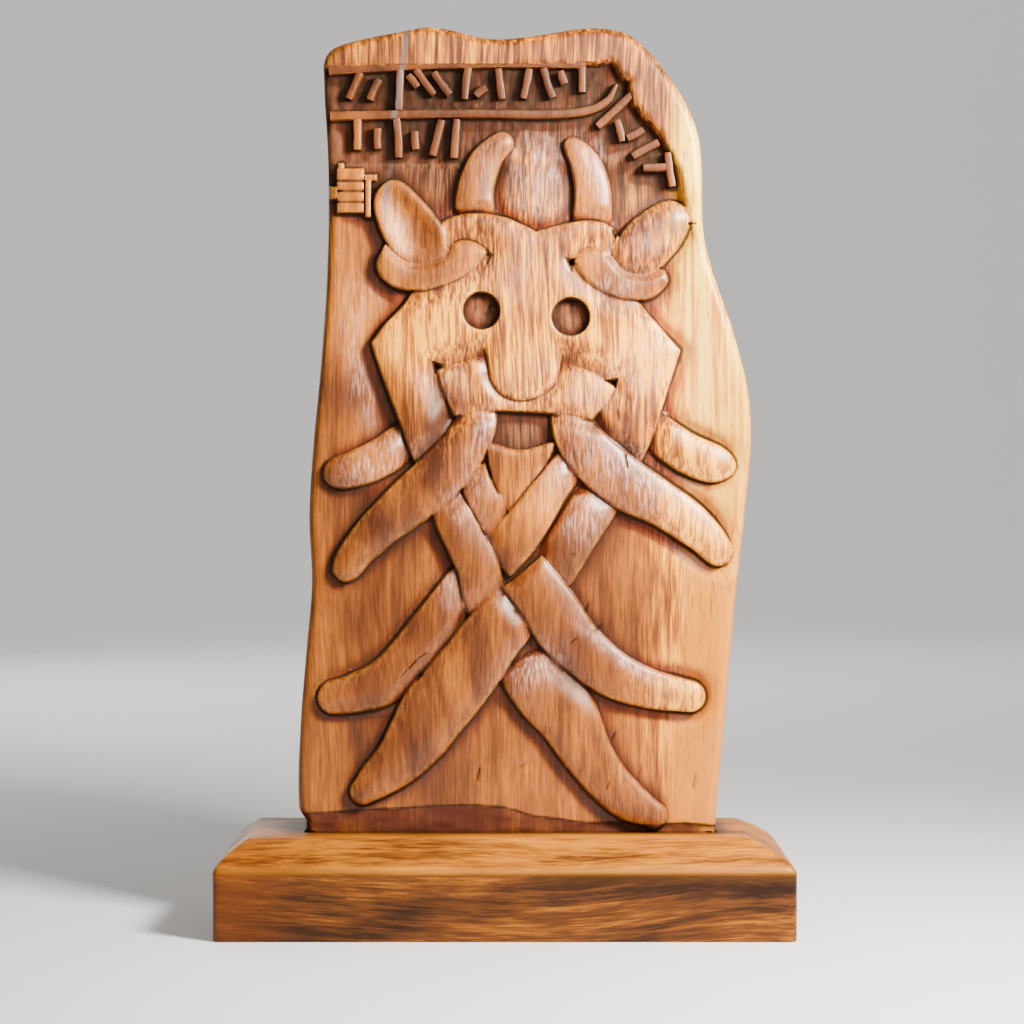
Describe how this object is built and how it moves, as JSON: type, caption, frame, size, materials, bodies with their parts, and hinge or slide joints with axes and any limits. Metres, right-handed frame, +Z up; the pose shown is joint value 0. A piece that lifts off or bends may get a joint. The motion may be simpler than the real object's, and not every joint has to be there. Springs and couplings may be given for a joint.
{
  "type": "carved wooden rune stone",
  "caption": "Upright wooden slab carved in relief with a horned, bearded mask and interlaced locks under a field of plain strokes, standing in a bevelled wooden plinth.",
  "frame": {"origin": "on the floor, under the middle of the plinth", "axes": "+Z up, the carved face looks along -Y, +X to the right as the carving is seen"},
  "size_m": [0.253, 0.092, 0.3994],
  "materials": {
    "slab_wood": "satin varnish, dark stain left in the cuts",
    "plinth_wood": "satin varnish"
  },
  "bodies": {
    "root": {"carved_slab": "slab_wood", "plinth": "plinth_wood"}
  },
  "joints": []
}
